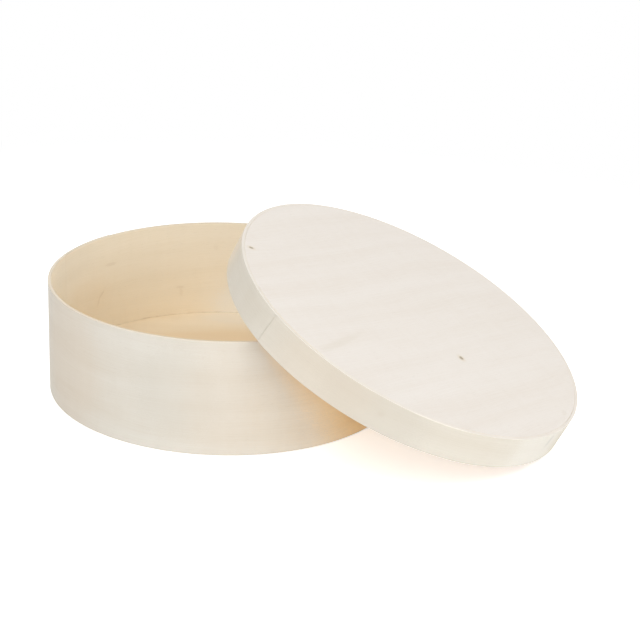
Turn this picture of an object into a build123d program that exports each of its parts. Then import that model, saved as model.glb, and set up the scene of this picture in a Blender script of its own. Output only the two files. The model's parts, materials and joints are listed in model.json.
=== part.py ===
# Round cheese box of bent wood veneer, with its cap lid lying against it.
# The frame stands at the centre of the box's underside, +Z up, and the lid leans out along +X.
import os
from math import asin, atan2, cos, degrees, hypot, radians, sin, sqrt

from build123d import *

# Box
box_radius = 78.0
box_height = 50.0
box_veneer = 1.3
bottom_thickness = 3.8

# Lid
lid_height = 15.0
lid_veneer = 1.3
top_thickness = 1.5
lid_play = 0.5

# Lapped ends of the two bands, with each seam's place counted from where the lid leans
box_lap = 36.0
box_seam_angle = 156.0
lid_lap = 28.0
lid_seam_angle = 237.6
skived_tip = 0.45
seam_step = 0.2
glue_line = 0.08
broken_edge = 0.15

# How the lid lies: the rim meets the underside of its top this far up the slope from its centre
lean_reach = 9.0
seat_gap = 0.3

box_inner = box_radius - box_veneer
lid_inner = box_radius + lid_play
lid_radius = lid_inner + lid_veneer


def polar(radius, angle):
    """Plan point at a radius and an angle in degrees."""
    return (radius * cos(radians(angle)), radius * sin(radians(angle)))


def bend(start_radius, start_angle, end_radius, end_angle):
    """Plan curve that goes round the hoop's axis while its radius changes evenly."""
    middle = polar((start_radius + end_radius) / 2, (start_angle + end_angle) / 2)
    ThreePointArc(polar(start_radius, start_angle), middle, polar(end_radius, end_angle))


def band_plan(radius, veneer, lap, seam_angle):
    """Plan of one strip bent round: both ends are skived, and the outer one laps over the inner one.

    The outer end's tip stands a little proud of the band at the seam. The inner end's tip lies flush with
    the band's inside, so that a round disc seats against it.
    """
    inner = radius - veneer
    hair = degrees(glue_line / radius)
    lap_end = seam_angle + degrees(lap / radius)
    bed_start = radius + seam_step - skived_tip
    bed_end = inner + skived_tip
    half_glue = glue_line / 2
    with BuildSketch() as plan:
        with BuildLine():
            bend(radius + seam_step, seam_angle, radius, lap_end)
            bend(radius, lap_end, radius, seam_angle - hair + 360)
            Line(polar(radius, seam_angle - hair), polar(bed_start - half_glue, seam_angle - hair))
            bend(bed_start - half_glue, seam_angle - hair, bed_end - half_glue, lap_end)
            Line(polar(bed_end - half_glue, lap_end), polar(inner, lap_end))
            bend(inner, lap_end, inner, lap_end + hair - 360)
            Line(polar(inner, lap_end + hair), polar(bed_end + half_glue, lap_end + hair))
            bend(bed_end + half_glue, lap_end + hair, bed_start + half_glue, seam_angle)
            Line(polar(bed_start + half_glue, seam_angle), polar(radius + seam_step, seam_angle))
        make_face()
    return plan.sketch


def cut_edges(band, cut_plane, lap):
    """The long edges along both rims of a band, where its veneer was cut to width, past the lap."""
    return band.faces().filter_by(cut_plane).edges().filter_by(lambda edge: edge.length > 2 * lap)


# Wall of the box: one strip whose lap lies at the back
with BuildPart() as box_band:
    with BuildSketch():
        add(band_plan(box_radius, box_veneer, box_lap, box_seam_angle))
    extrude(amount=box_height)
    chamfer(cut_edges(box_band, Plane.XY, box_lap), broken_edge)
box_band.part.label = "box_band"

# Floor of the box, glued inside the wall and flush with its lower edge
with BuildPart() as box_bottom:
    with BuildSketch():
        Circle(box_inner - glue_line)
    extrude(amount=bottom_thickness)
    chamfer(box_bottom.edges().filter_by(GeomType.CIRCLE), broken_edge)
box_bottom.part.label = "box_bottom"

# Place of the leaning lid: its lower edge stands on the table and the box's rim carries it from below
seat_depth = lid_height - top_thickness - seat_gap
seat_run = lid_radius + lean_reach
tilt = asin(box_height / hypot(seat_depth, seat_run)) - atan2(seat_depth, seat_run)
lid_rise = lid_height * cos(tilt) + lid_radius * sin(tilt)
rim_level = box_height / sin(tilt) - lid_radius
rim_clear = box_radius + seat_gap
lid_along = box_radius + (top_thickness + seat_gap) * sin(tilt) + lean_reach * cos(tilt)
if rim_level < lid_inner:
    # Where the band's lower edge passes the height of the rim, it has to be outside the wall
    crossing = sqrt(lid_inner**2 - rim_level**2)
    edge_back = lid_height * sin(tilt) + rim_level * cos(tilt)
    lid_along = max(lid_along, edge_back + sqrt(rim_clear**2 - crossing**2))
    lid_sway = crossing - sqrt(rim_clear**2 - (lid_along - edge_back) ** 2)
else:
    lid_along = rim_clear + lid_height * sin(tilt) + lid_radius * cos(tilt)
    lid_sway = 0
lid_plane = Plane(
    origin=(lid_along, -lid_sway, lid_rise),
    x_dir=(cos(tilt), 0, -sin(tilt)),
    z_dir=(sin(tilt), 0, cos(tilt)),
)

# Band of the lid: a shallow strip that slips over the box's wall, its lap at the front
with BuildPart() as lid_band:
    with BuildSketch(lid_plane.offset(-lid_height)):
        add(band_plan(lid_radius, lid_veneer, lid_lap, lid_seam_angle))
    extrude(amount=lid_height)
    chamfer(cut_edges(lid_band, lid_plane, lid_lap), broken_edge)
lid_band.part.label = "lid_band"

# Top of the lid, glued inside the band and flush with its upper edge
with BuildPart() as lid_top:
    with BuildSketch(lid_plane.offset(-top_thickness)):
        Circle(lid_inner - glue_line)
    extrude(amount=top_thickness)
    chamfer(lid_top.edges().filter_by(GeomType.CIRCLE), broken_edge)
lid_top.part.label = "lid_top"

os.makedirs("parts", exist_ok=True)
export_step(box_band.part, "parts/box_band.step")
export_step(box_bottom.part, "parts/box_bottom.step")
export_step(lid_band.part, "parts/lid_band.step")
export_step(lid_top.part, "parts/lid_top.step")
print("lid tilt", degrees(tilt), "along", lid_along, "sway", lid_sway, "rise", lid_rise)
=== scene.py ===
"""Round cheese box of bent wood veneer, with its cap lid lying against it.

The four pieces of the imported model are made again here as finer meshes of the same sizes, each with the
grain of its own strip or disc. Lengths of the wood are in millimetres and directions in degrees, unless a
docstring says otherwise. The meshes are written in metres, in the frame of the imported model.
"""

import json
import logging
import math
from dataclasses import dataclass, field
from enum import Enum
from functools import reduce
from typing import Callable, ClassVar, Optional, Sequence, Union

import bmesh
import bpy
from mathutils import Matrix, Vector, noise

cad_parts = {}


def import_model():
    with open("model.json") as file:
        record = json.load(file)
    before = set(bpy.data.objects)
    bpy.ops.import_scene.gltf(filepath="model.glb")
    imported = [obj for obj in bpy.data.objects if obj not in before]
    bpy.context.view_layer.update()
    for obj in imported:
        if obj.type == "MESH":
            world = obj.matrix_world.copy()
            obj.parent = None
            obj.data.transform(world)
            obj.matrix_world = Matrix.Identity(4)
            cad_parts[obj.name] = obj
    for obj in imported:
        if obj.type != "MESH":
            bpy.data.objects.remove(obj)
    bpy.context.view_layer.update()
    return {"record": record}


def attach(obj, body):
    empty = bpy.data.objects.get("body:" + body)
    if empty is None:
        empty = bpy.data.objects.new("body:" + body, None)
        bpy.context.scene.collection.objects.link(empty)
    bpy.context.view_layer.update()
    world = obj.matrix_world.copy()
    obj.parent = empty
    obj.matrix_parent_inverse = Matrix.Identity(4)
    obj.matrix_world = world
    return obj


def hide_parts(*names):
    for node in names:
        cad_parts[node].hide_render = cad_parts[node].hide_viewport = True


LOG = logging.getLogger("cheese_box")

MM = 0.001
TURN = 2 * math.pi
GRAIN_MAP = "grain"

# The skived and glued ends, and the broken edges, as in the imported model
SKIVED_TIP = 0.45
SEAM_STEP = 0.2
GLUE_LINE = 0.08
BROKEN_EDGE = 0.15

Pair = tuple[float, float]
Triple = tuple[float, float, float]
Colour = Triple
Levels = tuple[int, int, int]
Point = tuple[bmesh.types.BMVert, Pair]
Finishes = Sequence["Finish"]
Key = Union[int, str]
Operand = Union["Value", float]
Socket = Union["Value", float, Sequence[float]]


def linear(levels: Levels) -> Colour:
    """Linear colour of a display colour, whose red, green and blue go from 0 to 255."""
    shares = [level / 255 for level in levels]
    return tuple(share / 12.92 if share <= 0.04045 else ((share + 0.055) / 1.055) ** 2.4 for share in shares)


def smooth(low: float, high: float, value: float) -> float:
    """Smooth step, 0 up to low and 1 from high on."""
    share = min(max((value - low) / (high - low), 0.0), 1.0)
    return share * share * (3 - 2 * share)


def unevenness(seed: float, angle: float, turns: float, height: float = 0.0) -> float:
    """Noise from -1 to 1 at an angle in radians round a hoop, on which it closes on itself."""
    return noise.noise(Vector((turns * math.cos(angle) + seed, turns * math.sin(angle), height + 3 * seed)))


@dataclass(frozen=True)
class Wave:
    """Unevenness round a hoop: how far it goes on average, and how quickly it changes."""

    reach: float
    turns: float

    def at(self, seed: float, angle: float, height: float = 0.0) -> float:
        """How far it goes at an angle in radians, from nothing to twice its reach."""
        return self.reach * (1 + unevenness(seed, angle, self.turns, height))


# How a strip was cut to width, how the saw marked it, and how it bends between its stiffer stretches
CUT_WAVE = Wave(0.05, 2.2)
SAW_WAVE = Wave(0.02, 30.0)
BEND_WAVE = Wave(0.05, 6.0)


@dataclass(frozen=True)
class Cells:
    """Size of a noise's cells along and across the grain, and how much finer noise it holds."""

    along: float
    across: float
    detail: float


class Grain(Enum):
    """The noises that make up the wood."""

    SWAY = Cells(90.0, 26.0, 1.0)
    GROWTH = Cells(150.0, 20.0, 1.0)
    BROAD = Cells(260.0, 14.0, 2.0)
    FIBRES = Cells(22.0, 0.42, 3.0)
    SILK = Cells(4.5, 15.0, 2.0)
    PORES = Cells(3.4, 0.17, 1.0)
    JOINT_BREAKS = Cells(7.0, 40.0, 3.0)
    MARK_EDGES = Cells(0.9, 0.5, 2.0)
    CUT_LAYERS = Cells(30.0, 0.16, 2.0)
    FRAYED = Cells(1.6, 0.35, 3.0)
    SOILED = Cells(24.0, 12.0, 2.0)


@dataclass(frozen=True)
class Value:
    """One output socket of a graph, on which Python's operators add Math nodes."""

    graph: "Graph"
    socket: Optional[bpy.types.NodeSocket]

    def _math(self, operation: str, *operands: Operand) -> "Value":
        """Adds a Math node of that operation on the operands."""
        return self.graph.node("ShaderNodeMath", {"operation": operation}, dict(enumerate(operands)))

    def __add__(self, other: Operand) -> "Value":
        """self + other, which is other + self."""
        return self._math("ADD", self, other)

    __radd__ = __add__

    def __sub__(self, other: Operand) -> "Value":
        """self - other."""
        return self._math("SUBTRACT", self, other)

    def __rsub__(self, other: Operand) -> "Value":
        """other - self."""
        return self._math("SUBTRACT", other, self)

    def __mul__(self, other: Operand) -> "Value":
        """self * other, which is other * self."""
        return self._math("MULTIPLY", self, other)

    __rmul__ = __mul__

    def largest(self, other: Operand) -> "Value":
        """The larger of the two."""
        return self._math("MAXIMUM", self, other)

    def sine(self) -> "Value":
        """Its sine."""
        return self._math("SINE", self)

    def step(self, low: float, high: float) -> "Value":
        """Smooth step of it, 0 at low and 1 at high, which may be the lower of the two."""
        ends = {"Value": self, "From Min": low, "From Max": high}
        return self.graph.node("ShaderNodeMapRange", {"interpolation_type": "SMOOTHSTEP"}, ends)


class Graph:
    """The nodes of one material or world, built up from an empty tree."""

    def __init__(self, tree: bpy.types.NodeTree) -> None:
        """Takes the tree and clears it."""
        self.tree = tree
        self.tree.nodes.clear()

    def node(
        self,
        kind: str,
        settings: Optional[dict[str, object]] = None,
        sockets: Optional[dict[Key, Socket]] = None,
        output: Key = 0,
    ) -> Value:
        """Adds a node.

        Args:
            kind: The node's type.
            settings: Its settings, which are set first.
            sockets: The value or link of each of its inputs, by place, name or identifier.
            output: Which of its outputs is wanted, by place, name or identifier.

        Returns:
            That output.
        """
        made = self.tree.nodes.new(kind)
        for name, setting in (settings or {}).items():
            setattr(made, name, setting)
        for key, given in (sockets or {}).items():
            socket = self._find(made.inputs, key)
            if isinstance(given, Value):
                self.tree.links.new(given.socket, socket)
            else:
                socket.default_value = given
        return Value(self, self._find(made.outputs, output))

    @staticmethod
    def _find(sockets: bpy.types.bpy_prop_collection, key: Key) -> Optional[bpy.types.NodeSocket]:
        """The socket at a place, or of a name or identifier. An output node has none to give."""
        found = (each for place, each in enumerate(sockets) if key in (place, each.identifier, each.name))
        return next(found, None)

    def vector(self, operation: str, first: Socket, second: Socket) -> Value:
        """Vector Math on two vectors."""
        return self.node("ShaderNodeVectorMath", {"operation": operation}, {0: first, 1: second})

    def length(self, given: Value) -> Value:
        """Length of a vector."""
        return self.node("ShaderNodeVectorMath", {"operation": "LENGTH"}, {0: given}, "Value")

    def part(self, given: Value, axis: int) -> Value:
        """One of a vector's three numbers."""
        return self.node("ShaderNodeSeparateXYZ", None, {0: given}, axis)

    def mix(self, factor: Socket, first: Socket, second: Socket, blend: str = "MIX") -> Value:
        """Mix of two colours, the first at a factor of 0 and the second at 1."""
        ends = [given if isinstance(given, Value) else (*given, 1.0) for given in (first, second)]
        return self.node(
            "ShaderNodeMix",
            {"data_type": "RGBA", "blend_type": blend},
            {"Factor_Float": factor, "A_Color": ends[0], "B_Color": ends[1]},
            "Result_Color",
        )

    def end(self, shader: Value, kind: str = "ShaderNodeOutputMaterial") -> None:
        """Ends the graph in a shader, by an output node of that kind."""
        self.node(kind, None, {"Surface": shader})


class WoodGraph(Graph):
    """The nodes of a wood's material, with the place on its surface, and its own place in the noises.

    Both are in millimetres, with the grain along x. A place looks as far as its enclosure's reach, in
    metres, for wood that shuts it in. The open shares are those at which it counts as open and as shut in.
    """

    noise_roughness = 0.55
    enclosure_reach = 0.2
    enclosure_samples = 16
    open_shares = (0.30, 0.05)

    def __init__(self, tree: bpy.types.NodeTree, shift: Triple) -> None:
        """Starts the tree with both places.

        Args:
            tree: The material's tree.
            shift: How far the second place lies from the first.
        """
        super().__init__(tree)
        uv = self.node("ShaderNodeUVMap", {"uv_map": GRAIN_MAP})
        self.place = self.vector("MULTIPLY", uv, (1 / MM, 1 / MM, 1.0))
        self.own_place = self.vector("ADD", self.place, shift)

    def cells(self, place: Value, grain: Grain) -> Value:
        """Noise drawn out along the grain.

        Args:
            place: Where it is taken.
            grain: Which of the wood's noises.

        Returns:
            The noise, about 0.5.
        """
        size = grain.value
        stretched = self.vector("MULTIPLY", place, (1 / size.along, 1 / size.across, 1.0))
        return self.node(
            "ShaderNodeTexNoise",
            None,
            {"Vector": stretched, "Scale": 1.0, "Detail": size.detail, "Roughness": self.noise_roughness},
        )

    def enclosed(self) -> Value:
        """How far a place is shut in by wood, 0 in the open and 1 deep in a corner; it sets how much bounce
        light is painted there.
        """
        kind, settings = "ShaderNodeAmbientOcclusion", {"samples": self.enclosure_samples}
        return self.node(kind, settings, {"Distance": self.enclosure_reach}, "AO").step(*self.open_shares)

    def wood(self, colour: Value, roughness: Operand, height: Value, specular: float) -> Value:
        """Shader of bare wood, whose fine relief has its height in millimetres."""
        normal = self.node("ShaderNodeBump", None, {"Height": height, "Distance": MM})
        return self.node(
            "ShaderNodeBsdfPrincipled",
            None,
            {"Base Color": colour, "Roughness": roughness, "Normal": normal, "Specular IOR Level": specular},
        )


@dataclass(frozen=True)
class MarkTint:
    """How a kind of mark colours the wood at its core and in the halo round it, and how deep it lies."""

    core: Levels
    halo: Levels
    halo_spread: float = 2.0
    halo_strength: float = 0.8
    depth: float = 0.0


def stretch(*levels: int) -> MarkTint:
    """Tint of a broad stretch, which has one display colour and soft ends; these stretches paint light and
    shade on the wood.
    """
    return MarkTint(levels, levels)


class MarkKind(Enum):
    """Kinds of marks in the wood; the last four are broad stretches of painted light and shade, greyer,
    warmer, paler and yellower, and the greyer one also makes a small grey fleck.
    """

    PIN_KNOT = MarkTint((112, 93, 60), (210, 190, 152), 2.6, 0.7, 0.04)
    BARK_FLECK = MarkTint((150, 120, 88), (194, 166, 128), 1.9, 0.5, 0.02)
    MINERAL_STREAK = MarkTint((196, 184, 160), (214, 204, 184), 2.2, 0.4)
    GREY_FLECK_OR_PAINTED_SHADE = stretch(190, 184, 172)
    PAINTED_WARM_SHADE = stretch(214, 192, 166)
    PAINTED_LIGHT = stretch(240, 240, 236)
    PAINTED_WARM_BOUNCE = stretch(240, 212, 170)


@dataclass(frozen=True)
class Mark:
    """One mark on a surface, placed in millimetres along and across its grain."""

    kind: MarkKind
    along: float
    across: float
    length: float
    width: float
    strength: float
    turn: float = 0.0


# Painted bounce light, multiplied into the base colour where wood shuts a place in: what is left of the
# light's colours after the wood has lit itself many times in a corner
SELF_LIT = (1.6, 1.22, 0.72)


@dataclass(frozen=True)
class JointDarkLine:
    """A dark brown broken line just over the joint at a height, which fades past its end along the strip."""

    height: float
    end: float
    rises: Pair = (0.75, 0.25)
    fading: float = 3.0
    breaks: Pair = (0.4, 0.62)
    strength: float = 0.14
    tint: Levels = (176, 130, 80)

    def over(self, graph: WoodGraph, colour: Value) -> Value:
        """Adds the dark line.

        Args:
            graph: The material's graph.
            colour: The colour so far.

        Returns:
            The colour with the dark line.
        """
        clean, full = (self.height + rise for rise in self.rises)
        line = graph.part(graph.place, 1).step(clean, full)
        line = line * graph.cells(graph.own_place, Grain.JOINT_BREAKS).step(*self.breaks)
        line = line * graph.part(graph.place, 0).step(self.end + self.fading, self.end)
        return graph.mix(line * self.strength, colour, linear(self.tint))


@dataclass(frozen=True)
class Finish:
    """What every finish of bare wood has: its pale and its deep tone, and the seed of its noises.

    The stride is how far the noises shift from one seed to the next.
    """

    name: str
    pale: Levels
    deep: Levels
    seed: float
    stride: ClassVar[Triple]

    def material(self) -> bpy.types.Material:
        """Builds the finish's material.

        Returns:
            The material.
        """
        made = bpy.data.materials.new(self.name)
        made.use_nodes = True
        graph = WoodGraph(made.node_tree, tuple(step * self.seed for step in self.stride))
        graph.end(self.shader(graph))
        return made

    def shader(self, graph: WoodGraph) -> Value:
        """Builds the finish's shader in its material's graph."""
        raise NotImplementedError


@dataclass(frozen=True)
class Veneer(Finish):
    """Finish of one face of bare peeled veneer: growth bands, fibres, pores, a sheen that changes with the
    fibres, a painted sheen across the grain, painted bounce light, a joint and marks.

    The tones say how far the noises shift the wood from its pale to its deep tone, and the rises and the
    depth, in millimetres, how high they stand.
    """

    stride: ClassVar[Triple] = (61.0, 37.0, 5.0)
    middle_tone: float = 0.42
    growth_tone: float = 0.048
    growth_width: float = 13.0
    growth_shift: float = 9.0
    broad_tone: float = 0.66
    fibre_tone: float = 0.605
    painted_sheen_tone: float = 0.22
    sway: float = 9.0
    pore_share: Pair = (0.64, 0.76)
    pore_tone: float = 0.28
    pore_shade: float = 0.72
    fibre_rise: float = 0.022
    silk_rise: float = 0.02
    pore_depth: float = 0.02
    roughness: float = 0.76
    sheen: float = 0.2
    specular: float = 0.3
    painted_bounce: float = 0.9
    joint: Optional[JointDarkLine] = None
    marks: tuple[Mark, ...] = ()
    ragged: float = 0.9
    core_reach: Pair = (1.15, 0.55)
    halo_full: float = 0.4

    def shader(self, graph: WoodGraph) -> Value:
        """Builds the finish's shader.

        Args:
            graph: The material's graph.

        Returns:
            The shader.
        """
        swayed = (graph.cells(graph.own_place, Grain.SWAY) - 0.5) * self.sway
        bent = graph.vector("ADD", graph.own_place, graph.node("ShaderNodeCombineXYZ", None, {1: swayed}))
        shift = graph.cells(bent, Grain.GROWTH) * self.growth_shift
        growth = (graph.part(bent, 1) * (TURN / self.growth_width) + shift).sine()
        broad = graph.cells(bent, Grain.BROAD)
        fibres = graph.cells(bent, Grain.FIBRES)
        # The silk noise is a painted sheen across the grain in the colour, and it also lifts the relief a
        # little
        silk = graph.cells(graph.own_place, Grain.SILK)
        pores = graph.cells(bent, Grain.PORES).step(*self.pore_share)
        tone = self.middle_tone + growth * self.growth_tone + (broad - 0.5) * self.broad_tone
        tone = tone + (fibres - 0.5) * self.fibre_tone + (silk - 0.5) * self.painted_sheen_tone
        colour = graph.mix(tone.step(0.0, 1.0), linear(self.pale), linear(self.deep))
        pore_colour = tuple(self.pore_shade * share for share in linear(self.deep))
        colour = graph.mix(pores * self.pore_tone, colour, pore_colour)
        height = fibres * self.fibre_rise + silk * self.silk_rise - pores * self.pore_depth
        if self.joint:
            colour = self.joint.over(graph, colour)
        if self.marks:
            colour, height = self._marked(graph, colour, height)
        # Painted bounce light: the colour turns warmer, and brighter in red, where wood shuts the place in
        colour = graph.mix(graph.enclosed() * self.painted_bounce, colour, SELF_LIT, "MULTIPLY")
        return graph.wood(colour, self.roughness + (fibres - 0.5) * self.sheen, height, self.specular)

    def _marked(self, graph: WoodGraph, colour: Value, height: Value) -> tuple[Value, Value]:
        """Adds the marks.

        Args:
            graph: The material's graph.
            colour: The colour so far.
            height: The relief so far.

        Returns:
            The colour and the relief with the marks.
        """
        ragged = (graph.cells(graph.place, Grain.MARK_EDGES) - 0.5) * self.ragged
        for mark in self.marks:
            tint = mark.kind.value
            local = graph.node(
                "ShaderNodeMapping",
                {"vector_type": "TEXTURE"},
                {
                    "Vector": graph.place,
                    "Location": (mark.along, mark.across, 0.0),
                    "Rotation": (0.0, 0.0, math.radians(mark.turn)),
                    "Scale": (mark.length / 2, mark.width / 2, 1.0),
                },
            )
            reach = graph.length(local) + ragged
            core = reach.step(*self.core_reach)
            halo = reach.step(tint.halo_spread, self.halo_full)
            colour = graph.mix(halo * (tint.halo_strength * mark.strength), colour, linear(tint.halo))
            colour = graph.mix(core * mark.strength, colour, linear(tint.core))
            height = height - core * tint.depth
        return colour, height


@dataclass(frozen=True)
class CutEdge(Finish):
    """Finish of a strip's sawn and sanded edge, where the fibres end or fray."""

    stride: ClassVar[Triple] = (43.0, 29.0, 7.0)
    middle_tone: float = 0.45
    layer_tone: float = 0.9
    frayed_tone: float = 0.8
    soiled_tone: float = 0.7
    frayed_rise: float = 0.06
    layer_rise: float = 0.03
    roughness: float = 0.86
    specular: float = 0.2

    def shader(self, graph: WoodGraph) -> Value:
        """Builds the finish's shader.

        Args:
            graph: The material's graph.

        Returns:
            The shader.
        """
        layers = graph.cells(graph.own_place, Grain.CUT_LAYERS)
        frayed = graph.cells(graph.own_place, Grain.FRAYED)
        soiled = graph.cells(graph.own_place, Grain.SOILED)
        tone = self.middle_tone + (layers - 0.5) * self.layer_tone + (frayed - 0.5) * self.frayed_tone
        tone = tone + (soiled - 0.5) * self.soiled_tone
        colour = graph.mix(tone.step(0.0, 1.0), linear(self.pale), linear(self.deep))
        height = frayed * self.frayed_rise + layers * self.layer_rise
        return graph.wood(colour, self.roughness, height, self.specular)


class Side(Enum):
    """Which side of a strip or disc a face belongs to; each has its own finish."""

    OUTER = 0
    INNER = 1
    CUT = 2


# The turns at which an eased edge has points after the upright face
EASED_TURNS = (math.radians(30), math.radians(60), math.radians(90))

# The turn between two faces from which their edge is kept sharp
SHARP_TURN = math.radians(50)


def eased(wall: float, level: float, ease: float, inward: int) -> list[Pair]:
    """Points of one eased upper edge, from the upright face to the flat one.

    Args:
        wall: Radius of the upright face.
        level: Height of the flat face.
        ease: How much of the edge is taken off.
        inward: 1 where the wood lies outside that radius, and -1 where it lies inside it.

    Returns:
        Radius and height of each point after the upright face's last one.
    """
    return [
        (wall + inward * ease * (1 - math.cos(turn)), level - ease * (1 - math.sin(turn)))
        for turn in EASED_TURNS
    ]


def placed(name: str, data: bpy.types.ID) -> bpy.types.Object:
    """Makes an object and links it to the scene.

    Args:
        name: Its name.
        data: Its mesh, lamp or lens.

    Returns:
        The object.
    """
    made = bpy.data.objects.new(name, data)
    bpy.context.scene.collection.objects.link(made)
    return made


@dataclass
class PieceMesh:
    """A mesh in the making, which keeps each face's side and its place along and across the grain."""

    place: Matrix
    made: bmesh.types.BMesh = field(default_factory=bmesh.new)

    def __post_init__(self) -> None:
        """Adds the map that holds the place on the grain."""
        self.grain = self.made.loops.layers.uv.new(GRAIN_MAP)

    def point(self, x: float, y: float, z: float) -> bmesh.types.BMVert:
        """Adds a point, given in millimetres in the piece's own frame."""
        return self.made.verts.new(self.place @ Vector((x * MM, y * MM, z * MM)))

    def face(self, corners: Sequence[Point], side: Side) -> None:
        """Adds a face.

        Args:
            corners: Its points in order, each with its place along and across the grain.
            side: The side it belongs to.
        """
        face = self.made.faces.new([point for point, _ in corners])
        face.smooth = True
        face.material_index = side.value
        for loop, (_, (along, across)) in zip(face.loops, corners):
            loop[self.grain].uv = (along * MM, across * MM)

    def piece(self, name: str, finishes: Finishes) -> bpy.types.Object:
        """Makes the object.

        Args:
            name: Its name.
            finishes: The finishes of its sides, in the order of Side.

        Returns:
            The object, linked to the scene.
        """
        bmesh.ops.recalc_face_normals(self.made, faces=self.made.faces)
        for edge in self.made.edges:
            if edge.calc_face_angle(0.0) > SHARP_TURN:
                edge.smooth = False
        mesh = bpy.data.meshes.new(name)
        self.made.to_mesh(mesh)
        self.made.free()
        for finish in finishes:
            mesh.materials.append(finish.material())
        return placed(name, mesh)


@dataclass(frozen=True)
class Corner:
    """A point of a strip's section, with the side of the face that follows it.

    The fold says how the grain's map goes on over that face: 1 over the top, -1 under the foot and 0
    straight up or down.
    """

    radius: float
    height: float
    side: Side
    fold: int


@dataclass(frozen=True)
class Ring:
    """The points of one section of a strip, in the mesh."""

    along: float
    outer: float
    corners: Sequence[Corner]
    points: Sequence[bmesh.types.BMVert]

    def point(self, index: int, fold: int = 0) -> Point:
        """One of its points with its place on the grain, as a face of that fold has it."""
        corner = self.corners[index]
        return (self.points[index], (self.along, corner.height + fold * (self.outer - corner.radius)))


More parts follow.
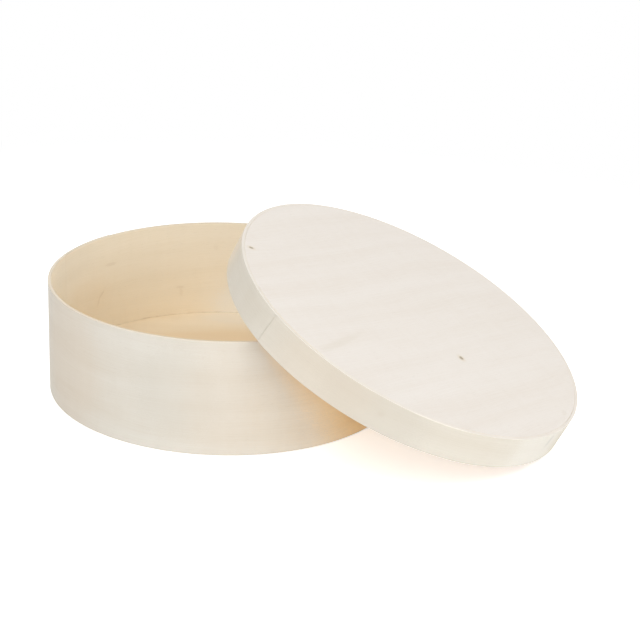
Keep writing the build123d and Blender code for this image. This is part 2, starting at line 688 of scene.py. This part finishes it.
@dataclass
class Hoop:
    """A strip of veneer bent round, whose two skived ends lie over each other and are glued.

    The ends slant by slant over its height, the inner end sinks by end_drop, and rim says for a direction
    how far the upper edge is sunk and how much it is eased.
    """

    radius: float
    height: float
    veneer: float
    lap: float
    seam: float
    seed: float
    slant: float = 0.0
    end_drop: float = 0.12
    hairline: float = GLUE_LINE
    inner_ease: float = BROKEN_EDGE
    rim: Callable[[float], Pair] = lambda azimuth: (0.0, BROKEN_EDGE)
    rows: int = 18
    steps: int = 440

    # Shares of the lap at which its tip has sections, with how far each is rounded off
    tip_rounding = {0.0: 0.1, 0.006: 0.03, 0.02: 0.0}

    # Where the inner end sinks, in radians from where it comes back to the seam
    sinks_between = (-0.5, 0.2)

    # Share of the strip's thickness that an ease may take, and height of the rows that hold an edge's shape
    most_ease = 0.35
    edge_row = 0.35

    # Where the slant of the ends fades: from this far from the seam, to this share of the lap
    slant_from = 1.0
    slant_to = 0.8

    # What the strip's cut edge adds to its seed, and the height over which a bend changes
    edge_seed = 9
    bend_height = 30

    @property
    def inner(self) -> float:
        """Radius of its inside."""
        return self.radius - self.veneer

    def along(self, azimuth: float, inside: bool = False) -> float:
        """Place along the strip of a direction.

        Args:
            azimuth: The direction, from the frame's x axis.
            inside: Whether it is meant on the strip's inside.

        Returns:
            The place along the strip.
        """
        turned = math.radians(azimuth - self.seam) % TURN
        if inside and turned < self.lap / self.radius:
            turned += TURN
        return turned * self.radius

    def stations(self) -> list[Triple]:
        """Lays out the strip's sections, from its outer end to its inner end.

        Returns:
            Angle from the seam, in radians, outer radius and inner radius of each.
        """
        lap = self.lap / self.radius
        hair = self.hairline / self.radius
        bed = self.radius + SEAM_STEP - SKIVED_TIP
        slope = self.inner + SKIVED_TIP - bed
        lap_steps = round(self.steps * (lap + hair) / TURN)
        shares = [*self.tip_rounding] + [step / lap_steps for step in range(1, lap_steps + 1)]

        found = []
        for share in shares:
            angle = (lap + hair) * share
            proud = SEAM_STEP * (1 - min(angle / lap, 1.0)) - self.tip_rounding.get(share, 0.0)
            found.append((angle, self.radius + proud, bed + slope * share + GLUE_LINE / 2))
        start, end = lap + 2 * hair, TURN - 2 * hair
        whole = round(self.steps * (end - start) / TURN)
        for step in range(whole + 1):
            found.append((start + (end - start) * step / whole, self.radius, self.inner))
        for share in shares:
            angle = TURN - hair + (lap + hair) * share
            found.append((angle, bed + slope * share - GLUE_LINE / 2, self.inner))
        return found

    def section(self, angle: float, outer: float, inner: float) -> list[Corner]:
        """The closed section at a station, from the foot of its outside up, over and down again.

        Args:
            angle: Its angle from the seam, in radians.
            outer: Its outer radius.
            inner: Its inner radius.

        Returns:
            The section's corners.
        """
        azimuth = math.radians(self.seam) + angle
        sunk, ease = self.rim(math.degrees(azimuth) % 360)
        wave = CUT_WAVE.at(self.seed, azimuth) + SAW_WAVE.at(self.seed + self.edge_seed, azimuth)
        start, end = (TURN + turn for turn in self.sinks_between)
        top = self.height - sunk - wave - self.end_drop * smooth(start, end, angle)
        most = self.most_ease * (outer - inner)
        ease, inner_ease = min(ease, most), min(self.inner_ease, most)

        outside = [(outer, height) for height in self._heights(top, ease)]
        inside = [(inner, height) for height in reversed(self._heights(top, inner_ease))]
        over = eased(outer, top, ease, -1) + eased(inner, top, inner_ease, 1)[::-1]
        under = [(radius, top - height) for radius, height in reversed(over)]
        runs = (
            (outside[:-1], Side.OUTER, 0),
            (outside[-1:] + over, Side.CUT, 1),
            (inside[:-1], Side.INNER, 0),
            (inside[-1:] + under, Side.CUT, -1),
        )
        return [Corner(*point, side, fold) for points, side, fold in runs for point in points]

    def _heights(self, top: float, ease: float) -> list[float]:
        """Lays out the rows of one side between its eased edges.

        Args:
            top: Height of the upper edge.
            ease: How much of both edges is taken off.

        Returns:
            The rows' heights.
        """
        low, high = ease, top - ease
        hold = self.edge_row / (high - low)
        rises = [0.0, hold] + [row / self.rows for row in range(1, self.rows)] + [1 - hold, 1.0]
        return [low + (high - low) * rise for rise in rises]

    def wave(self, azimuth: float, height: float) -> float:
        """How far the strip stands inside its true round, at a direction in radians and a height."""
        return BEND_WAVE.at(self.seed, azimuth, height / self.bend_height)

    def bent(self, radius: float, angle: float, height: float) -> Triple:
        """Where a point of the strip lies once it is bent, with the slanted ends and the small waves.

        Args:
            radius: Radius of the point.
            angle: Its angle from the seam, in radians.
            height: Its height.

        Returns:
            Its place in the hoop's own frame.
        """
        turned = angle % TURN
        away = min(turned, TURN - turned) * self.radius
        fading = 1 - smooth(self.slant_from, self.slant_to * self.lap, away)
        shift = self.slant * (height / self.height - 0.5) * fading
        azimuth = math.radians(self.seam) + angle + shift / self.radius
        reach = radius - self.wave(azimuth, height)
        return (reach * math.cos(azimuth), reach * math.sin(azimuth), height)

    def piece(self, name: str, place: Matrix, finishes: Finishes) -> bpy.types.Object:
        """Builds the strip's mesh and object.

        Args:
            name: The piece's name.
            place: Where the hoop's own frame stands, with the middle of its lower edge as origin.
            finishes: The finishes of its sides.

        Returns:
            The piece.
        """
        mesh = PieceMesh(place)
        rings = []
        for angle, outer, inner in self.stations():
            corners = self.section(angle, outer, inner)
            points = [mesh.point(*self.bent(corner.radius, angle, corner.height)) for corner in corners]
            rings.append(Ring(angle * self.radius, outer, corners, points))
        for ring, after in zip(rings, rings[1:]):
            for index, corner in enumerate(ring.corners):
                following = (index + 1) % len(ring.corners)
                around = ((ring, index), (after, index), (after, following), (ring, following))
                mesh.face([of.point(which, corner.fold) for of, which in around], corner.side)
        for ring in (rings[0], rings[-1]):
            mesh.face([ring.point(index) for index in range(len(ring.points))], Side.CUT)
        return mesh.piece(name, finishes)


@dataclass
class Disc:
    """A thin round board, whose grain runs straight across it.

    It is sunk by sunk, bow is how far its middle stands off, and gap says for a direction how far its rim
    stands inside its true round.
    """

    radius: float
    thickness: float
    grain: float
    seed: float
    sunk: float = 0.0
    ease: float = BROKEN_EDGE
    bow: float = -0.12
    gap: Callable[[float], float] = lambda azimuth: 0.02
    steps: int = 360
    rings: int = 22

    # Width of the flat's last ring, and length over which the bow changes
    last_ring = 0.6
    bow_length = 45

    def along(self, x: float, y: float) -> Pair:
        """Place along and across the grain of a point in the disc's plan."""
        turn = math.radians(self.grain)
        return (x * math.cos(turn) + y * math.sin(turn), -x * math.sin(turn) + y * math.cos(turn))

    def profile(self) -> list[tuple[float, float, Side]]:
        """Lays out the section, from near the middle of the upper face round to near that of the underside.

        Returns:
            Radius and height of each point, and the side of the face that follows it.
        """
        flat = [(self.radius - self.last_ring) * (ring / self.rings) for ring in range(1, self.rings + 1)]
        edge = eased(self.radius, self.thickness, self.ease, -1)[::-1]
        edge.append((self.radius, self.thickness - self.ease))
        upper = [(radius, self.thickness) for radius in flat] + edge
        lower = [(radius, self.thickness - height) for radius, height in reversed(upper)]
        cut = 2 * len(edge) - 1
        sides = [Side.OUTER] * len(flat) + [Side.CUT] * cut + [Side.INNER] * (len(flat) + 1)
        return [(*point, side) for point, side in zip(upper + lower, sides)]

    def piece(self, name: str, place: Matrix, finishes: Finishes) -> bpy.types.Object:
        """Builds the disc's mesh and object.

        Args:
            name: The piece's name.
            place: Where the middle of its underside stands.
            finishes: The finishes of its sides.

        Returns:
            The piece.
        """
        mesh = PieceMesh(place)
        profile = self.profile()
        rows = [
            [self._point(mesh, radius, step, height) for step in range(self.steps)]
            for radius, height, _ in profile
        ]
        for row, after, (_, _, side) in zip(rows, rows[1:], profile):
            for index in range(self.steps):
                mesh.face((row[index], after[index], after[index - 1], row[index - 1]), side)
        for row, height, side in ((rows[0], self.thickness, Side.OUTER), (rows[-1], 0.0, Side.INNER)):
            middle = self._point(mesh, 0.0, 0, height)
            for index in range(self.steps):
                mesh.face((middle, row[index - 1], row[index]), side)
        return mesh.piece(name, finishes)

    def _point(self, mesh: PieceMesh, radius: float, step: int, height: float) -> Point:
        """Adds a point.

        Args:
            mesh: The mesh in the making.
            radius: The point's radius.
            step: Which of the steps round the disc it lies at.
            height: Its height over the underside.

        Returns:
            The point with its place along and across the grain.
        """
        spoke = TURN * step / self.steps
        reach = radius * (1 - self.gap(math.degrees(spoke)) / self.radius)
        x, y = reach * math.cos(spoke), reach * math.sin(spoke)
        return (mesh.point(x, y, height + self._bow(x, y) - self.sunk), self.along(x, y))

    def _bow(self, x: float, y: float) -> float:
        """How far the board stands off its plane, none at its rim."""
        uneven = noise.noise(Vector((x / self.bow_length, y / self.bow_length, self.seed)))
        return self.bow * max(1 - (math.hypot(x, y) / self.radius) ** 2, 0.0) * (1 + uneven)


def ride(piece: bpy.types.Object, body: str, node: str) -> None:
    """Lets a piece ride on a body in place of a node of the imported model, and reports it.

    Args:
        piece: The piece.
        body: The body that it moves with.
        node: The node that it stands for.
    """
    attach(piece, body)
    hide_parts(node)
    LOG.info("%s stands for %s on body %s, %d faces", piece.name, node, body, len(piece.data.polygons))


@dataclass
class Box:
    """The open box: its bent wall, and the floor glued inside it."""

    radius: float = 78.0
    height: float = 50.0
    veneer: float = 1.3
    lap: float = 36.0
    seam: float = 156.0
    seam_hairline: float = 0.03
    floor_thickness: float = 3.8
    floor_bow: float = 0.1
    floor_grain: float = 17.0
    joint: float = 0.02
    joint_wear: float = 0.03
    joint_seed: float = 6.1
    joint_turns: float = 9.0
    joint_steps: Pair = (-0.1, 0.5)
    dark_line_end: float = 143.0

    def wall(self) -> Hoop:
        """The strip of the wall."""
        sizes = (self.radius, self.height, self.veneer, self.lap, self.seam)
        return Hoop(*sizes, seed=1.7, hairline=self.seam_hairline)

    def floor(self) -> Disc:
        """The board of the floor."""
        sizes = (self.radius - self.veneer, self.floor_thickness, self.floor_grain)
        return Disc(*sizes, seed=4.1, bow=self.floor_bow, gap=self.floor_gap)

    def floor_gap(self, azimuth: float) -> float:
        """How far the floor's rim stands inside the wall's true round, past the wave and an uneven joint.

        Args:
            azimuth: The direction.

        Returns:
            That distance.
        """
        turn = math.radians(azimuth)
        worn = smooth(*self.joint_steps, unevenness(self.joint_seed, turn, self.joint_turns))
        return self.wall().wave(turn, self.floor_thickness) + (self.joint + self.joint_wear * worn)

    def wall_finishes(self) -> Finishes:
        """Makes the finishes of the wall.

        Returns:
            Those of its outside, its inside and its cut edges.
        """
        # Broad stretches of painted light and shade: greyer on the front where the lamps fall most, warmer
        # on the shaded left side, and warmer, yellower and paler along the edge of the lid's shadow on the
        # wall
        wall = self.wall()
        marks = (
            Mark(MarkKind.GREY_FLECK_OR_PAINTED_SHADE, wall.along(-84.0), 27.0, 40.0, 44.0, 0.19),
            Mark(MarkKind.PAINTED_WARM_SHADE, wall.along(-128.0), 26.0, 50.0, 70.0, 0.16),
            Mark(MarkKind.PAINTED_WARM_SHADE, wall.along(-70.0), 22.0, 34.0, 60.0, 0.1),
            Mark(MarkKind.PAINTED_WARM_BOUNCE, wall.along(-52.0), 20.0, 30.0, 60.0, 0.06),
            Mark(MarkKind.PAINTED_LIGHT, wall.along(-37.0), 12.0, 24.0, 40.0, 0.06),
        )
        outside = Veneer("box_wall_outside", (216, 212, 203), (205, 197, 183), 1.0, painted_bounce=1.0, marks=marks)
        flecks = (
            (156.0, 35.7, 7.2, 1.8, 0.08, 2.0),
            (160.5, 22.3, 4.8, 1.2, 0.1, -43.0),
            (162.2, 19.0, 5.0, 1.1, 0.08, -70.0),
            (127.8, 17.9, 4.8, 1.2, 0.08, 4.0),
            (127.4, 15.3, 4.6, 2.0, 0.05, 84.0),
            (114.8, 37.4, 3.0, 2.2, 0.035, 60.0),
            (141.0, 4.1, 4.6, 0.7, 0.12),
            (113.6, 4.1, 4.6, 0.7, 0.16),
        )
        marks = (
            *(Mark(MarkKind.BARK_FLECK, wall.along(azimuth, True), *rest) for azimuth, *rest in flecks),
            # The flecks are the wood's own; the broad stretches are painted light and shade, greyer and
            # yellower at the left, and paler where the lid shades the inside wall and the painted bounce
            # light is too warm
            # Two stretches go on past the inner seam, so each is there once on both ends of the strip
            Mark(MarkKind.GREY_FLECK_OR_PAINTED_SHADE, wall.along(178.0, True), 43.0, 40.0, 18.0, 0.06),
            Mark(MarkKind.GREY_FLECK_OR_PAINTED_SHADE, wall.along(178.0), 43.0, 40.0, 18.0, 0.06),
            Mark(MarkKind.PAINTED_WARM_BOUNCE, wall.along(170.0, True), 22.0, 40.0, 22.0, 0.08),
            Mark(MarkKind.PAINTED_WARM_BOUNCE, wall.along(170.0), 22.0, 40.0, 22.0, 0.08),
            Mark(MarkKind.PAINTED_LIGHT, wall.along(106.0, True), 8.0, 26.0, 22.0, 0.55),
        )
        joint = JointDarkLine(self.floor_thickness, wall.along(self.dark_line_end, True))
        # The inside's tones are paler and warmer than the outside's, partly painted bounce light inside the
        # box
        inside = Veneer(
            "box_wall_inside", (248, 240, 223), (240, 230, 209), 2.0, painted_bounce=0.2, joint=joint, marks=marks
        )
        edge = CutEdge("box_wall_edge", (229, 220, 204), (219, 205, 184), 3.0)
        return outside, inside, edge

    def floor_finishes(self) -> Finishes:
        """Makes the finishes of the floor.

        Returns:
            Those of its upper face, its underside and its rim.
        """
        board = self.floor()
        # Painted light and shade: paler towards the back wall, and yellower and deeper nearer the front, as
        # lit by bounce from the walls
        marks = (
            Mark(MarkKind.PAINTED_LIGHT, *board.along(-18.0, 68.0), 40.0, 20.0, 0.2),
            Mark(MarkKind.PAINTED_WARM_BOUNCE, *board.along(-22.0, 36.0), 76.0, 22.0, 0.35, 10.0),
        )
        # The upper face's tones are paler and warmer than the underside's, partly painted bounce light
        # inside the box
        upper = Veneer("box_floor_upper", (249, 234, 208), (242, 224, 194), 4.0, painted_bounce=0.25, marks=marks)
        under = Veneer("box_floor_under", (231, 221, 205), (219, 204, 181), 5.0, painted_bounce=0.0)
        edge = CutEdge("box_floor_rim", (226, 212, 188), (204, 182, 148), 6.0)
        return upper, under, edge

    def build(self) -> None:
        """Builds and dresses both pieces."""
        strip = self.wall().piece("box_wall_strip", Matrix(), self.wall_finishes())
        ride(strip, "box", "box_band")
        board = self.floor().piece("box_floor_board", Matrix(), self.floor_finishes())
        ride(board, "box", "box_bottom")


@dataclass
class Lid:
    """The cap lid that leans on the box: its bent band, and the thin top glued inside it.

    The band's upper edge is sunk a little under its full height, but for a stretch at the front that
    stands proud of the top and is worn rounder.
    """

    radius: float = 79.8
    height: float = 15.0
    veneer: float = 1.3
    lap: float = 28.0
    seam: float = 237.6
    seam_slant: float = 2.2
    top_thickness: float = 1.5
    top_sunk: float = 0.14
    top_grain: float = 68.0
    fine_ease: float = 0.03
    rim_sunk: float = 0.1
    rim_ease: float = 0.06
    proud_ease: float = 0.2
    proud_from: Pair = (283.0, 289.0)
    proud_to: Pair = (299.0, 309.0)

    def band(self) -> Hoop:
        """The strip of the band."""
        sizes = (self.radius, self.height, self.veneer, self.lap, self.seam)
        return Hoop(*sizes, seed=7.3, slant=self.seam_slant, inner_ease=self.fine_ease, rim=self.rim, rows=8)

    def rim(self, azimuth: float) -> Pair:
        """How far the band's edge lies below its full height at a direction, and how much it is eased."""
        proud = smooth(*self.proud_from, azimuth) * (1 - smooth(*self.proud_to, azimuth))
        return (self.rim_sunk * (1 - proud), self.rim_ease + self.proud_ease * proud)

    def top(self) -> Disc:
        """The board of the top."""
        sizes = (self.radius - self.veneer - GLUE_LINE, self.top_thickness, self.top_grain)
        return Disc(*sizes, seed=8.2, sunk=self.top_sunk, ease=self.fine_ease)

    def place(self, record: dict) -> Matrix:
        """Where the lid lies, from the mount on the middle of its top.

        Args:
            record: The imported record.

        Returns:
            The frame of the band's lower edge, with x down the slope.
        """
        mount = next(mount for mount in record["mounts"] if mount["name"] == "lid_face")
        axis = Vector(mount["axis"]).normalized()
        side = Vector((0.0, 1.0, 0.0))
        down = side.cross(axis).normalized()
        foot = Vector(mount["pos_m"]) - axis * self.height * MM
        return Matrix.Translation(foot) @ Matrix((down, side, axis)).transposed().to_4x4()

    def band_finishes(self) -> Finishes:
        """Makes the finishes of the band.

        Returns:
            Those of its outside, its inside and its cut edges.
        """
        band, middle, whole = self.band(), self.height / 2, 60.0
        # Besides the grey fleck and the bark fleck, the broad stretches are painted light and shade: greyer
        # and warmer in the middle of the front, where the lamps fall most, paler and yellower at the left
        # end, which faces away from them, and paler at the right end, against the painted bounce light by
        # the floor
        marks = (
            Mark(MarkKind.GREY_FLECK_OR_PAINTED_SHADE, band.along(-18.6), self.height - 4.3, 5.4, 2.6, 0.75, 69.0),
            Mark(MarkKind.BARK_FLECK, band.along(-80.1), self.height - 7.0, 3.4, 2.4, 0.07, 40.0),
            Mark(MarkKind.GREY_FLECK_OR_PAINTED_SHADE, band.along(-83.0), middle, 50.0, whole, 0.25),
            Mark(MarkKind.PAINTED_WARM_SHADE, band.along(-100.0), middle, 50.0, whole, 0.12),
            Mark(MarkKind.PAINTED_LIGHT, band.along(-145.0), middle, 24.0, whole, 0.06),
            Mark(MarkKind.PAINTED_WARM_BOUNCE, band.along(-166.0), middle, 24.0, whole, 0.14),
            Mark(MarkKind.PAINTED_LIGHT, band.along(-24.0), middle, 34.0, whole, 0.2),
        )
        outside = Veneer("lid_band_outside", (219, 213, 201), (208, 200, 185), 7.0, painted_bounce=0.15, marks=marks)
        inside = Veneer("lid_band_inside", (238, 224, 202), (226, 208, 180), 8.0, painted_bounce=0.3)
        edge = CutEdge("lid_band_edge", (232, 226, 217), (226, 217, 206), 9.0)
        return outside, inside, edge

    def top_finishes(self) -> Finishes:
        """Makes the finishes of the top.

        Returns:
            Those of its upper face, its underside and its rim.
        """
        top = self.top()
        marks = (
            Mark(MarkKind.PIN_KNOT, *top.along(-69.7, -28.8), 2.2, 1.6, 0.55, -30.0),
            Mark(MarkKind.PIN_KNOT, *top.along(27.3, -11.2), 2.1, 2.5, 0.55, -15.0),
            Mark(MarkKind.MINERAL_STREAK, *top.along(-15.4, -58.5), 40.0, 4.0, 0.11, 10.0),
            Mark(MarkKind.MINERAL_STREAK, *top.along(75.6, -3.6), 5.0, 2.6, 0.1, 30.0),
        )
        face = Veneer("lid_top_face", (232, 226, 219), (224, 215, 204), 10.0, marks=marks)
        under = Veneer("lid_top_under", (239, 226, 205), (227, 209, 182), 11.0, painted_bounce=0.3)
        edge = CutEdge("lid_top_rim", (240, 232, 218), (226, 210, 186), 12.0)
        return face, under, edge

    def build(self, record: dict) -> None:
        """Builds and dresses both pieces.

        Args:
            record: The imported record.
        """
        place = self.place(record)
        seat = place @ Matrix.Translation((0.0, 0.0, (self.height - self.top_thickness) * MM))
        strip = self.band().piece("lid_band_strip", place, self.band_finishes())
        ride(strip, "lid", "lid_band")
        board = self.top().piece("lid_top_board", seat, self.top_finishes())
        ride(board, "lid", "lid_top")


@dataclass(frozen=True)
class Softbox:
    """A square soft lamp, placed in metres round the point that it is aimed at."""

    name: str
    azimuth: float
    elevation: float
    power: float
    distance: float = 1.8
    size: float = 1.0

    def light(self, aim: Vector) -> None:
        """Adds the lamp.

        Args:
            aim: The point that it is turned to.
        """
        lamp = bpy.data.lights.new(self.name, "AREA")
        lamp.size = self.size
        lamp.energy = self.power
        turn, rise = math.radians(self.azimuth), math.radians(self.elevation)
        away = Vector((math.cos(turn) * math.cos(rise), math.sin(turn) * math.cos(rise), math.sin(rise)))
        made = placed(self.name, lamp)
        made.location = aim + away * self.distance
        made.rotation_euler = away.to_track_quat("Z", "Y").to_euler()


@dataclass
class Studio:
    """Pale floor, soft lamps, plain white surroundings, and the camera. Its lengths are in metres."""

    ambient: float = 0.58
    floor_albedo: float = 0.92
    floor_lift: float = 0.48
    floor_radius: float = 6.0
    floor_sides: int = 64
    floor_drop: float = 0.0002
    shadow_ends: Pair = (0.17, 0.42)
    aim: Triple = (0.04, 0.0, 0.03)
    lamps: tuple[Softbox, ...] = (
        Softbox("right_softbox", -20.0, 40.0, 4.8, distance=1.6, size=1.2),
        Softbox("left_softbox", -110.0, 42.0, 8.9, distance=1.6, size=1.2),
        Softbox("low_front_softbox", -60.0, 4.0, 4.9),
        Softbox("front_corner_softbox", -45.0, 12.0, 2.4),
        Softbox("low_right_softbox", -30.0, 8.0, 8.2),
        Softbox("low_back_softbox", 118.0, 12.0, 14.0),
    )

    # The camera's lens, and the place and turn of its view in millimetres, from the photograph's outlines
    lens: float = 95.903
    sensor_width: float = 36.0
    clip: Pair = (0.01, 100.0)
    target: Triple = (39.889, 12.336, 31.058)
    distance: float = 758.0
    azimuth: float = 17.172
    elevation: float = 20.968
    roll: float = 2.263

    # The rays that belong to the camera's view: straight, mirrored and through glass
    seen_rays = ("Is Camera Ray", "Is Glossy Ray", "Is Transmission Ray")

    def camera(self) -> None:
        """Adds the camera and makes it the scene's own."""
        turn = Matrix.Rotation(math.radians(self.azimuth), 3, "Z")
        rise = math.radians(self.elevation)
        back = turn @ Vector((0.0, -math.cos(rise), math.sin(rise)))
        level = turn @ Vector((1.0, 0.0, 0.0))
        right = Matrix.Rotation(math.radians(self.roll), 3, back) @ level
        up = back.cross(right)
        lens = bpy.data.cameras.new("camera")
        lens.lens = self.lens
        lens.sensor_width = self.sensor_width
        lens.clip_start, lens.clip_end = self.clip
        made = placed("camera", lens)
        stand = (Vector(self.target) + back * self.distance) * MM
        made.matrix_world = Matrix.Translation(stand) @ Matrix((right, up, back)).transposed().to_4x4()
        bpy.context.scene.camera = made

    def seen(self, graph: Graph) -> Value:
        """1 on the rays of the camera's view, and 0 on those that light the object."""
        rays = (graph.node("ShaderNodeLightPath", output=ray) for ray in self.seen_rays)
        return reduce(Value.largest, rays)

    def floor(self) -> None:
        """Adds the pale floor, which keeps the object's shadow."""
        material = bpy.data.materials.new("studio_floor")
        material.use_nodes = True
        graph = Graph(material.node_tree)
        seen = self.seen(graph)
        matt = graph.node("ShaderNodeBsdfDiffuse", None, {"Color": (*(self.floor_albedo,) * 3, 1.0)})
        lift = graph.node("ShaderNodeEmission", None, {"Strength": seen * self.floor_lift})
        near = graph.node("ShaderNodeAddShader", None, {0: matt, 1: lift})
        white = graph.node("ShaderNodeEmission", None, {"Strength": 1.0})
        away = graph.length(graph.node("ShaderNodeNewGeometry", output="Position"))
        clear = seen * away.step(*self.shadow_ends)
        graph.end(graph.node("ShaderNodeMixShader", None, {0: clear, 1: near, 2: white}))

        made = bmesh.new()
        under = Matrix.Translation((0.0, 0.0, -self.floor_drop))
        sizes = {"segments": self.floor_sides, "radius": self.floor_radius, "matrix": under}
        bmesh.ops.create_circle(made, cap_ends=True, **sizes)
        mesh = bpy.data.meshes.new("studio_floor")
        made.to_mesh(mesh)
        made.free()
        mesh.materials.append(material)
        floor = placed("studio_floor", mesh)

    def surroundings(self) -> None:
        """Sets the even light from all round, which the camera sees as white."""
        world = bpy.data.worlds.new("studio")
        world.use_nodes = True
        graph = Graph(world.node_tree)
        colour = (1.0, 1.0, 1.0, 1.0)
        even, white = (
            graph.node("ShaderNodeBackground", None, {"Color": colour, "Strength": strength})
            for strength in (self.ambient, 1.0)
        )
        mixed = graph.node("ShaderNodeMixShader", None, {0: self.seen(graph), 1: even, 2: white})
        graph.end(mixed, "ShaderNodeOutputWorld")
        bpy.context.scene.world = world

    def build(self) -> None:
        """Sets up the camera, the floor, the surroundings and the lamps."""
        self.camera()
        self.floor()
        self.surroundings()
        for lamp in self.lamps:
            lamp.light(Vector(self.aim))
        bpy.context.scene.view_settings.view_transform = "Standard"


def main() -> None:
    """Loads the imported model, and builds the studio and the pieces."""
    logging.basicConfig(level=logging.INFO, format="%(name)s: %(message)s")
    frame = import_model()
    Studio().build()
    Box().build()
    Lid().build(frame["record"])


if __name__ == "__main__":
    main()
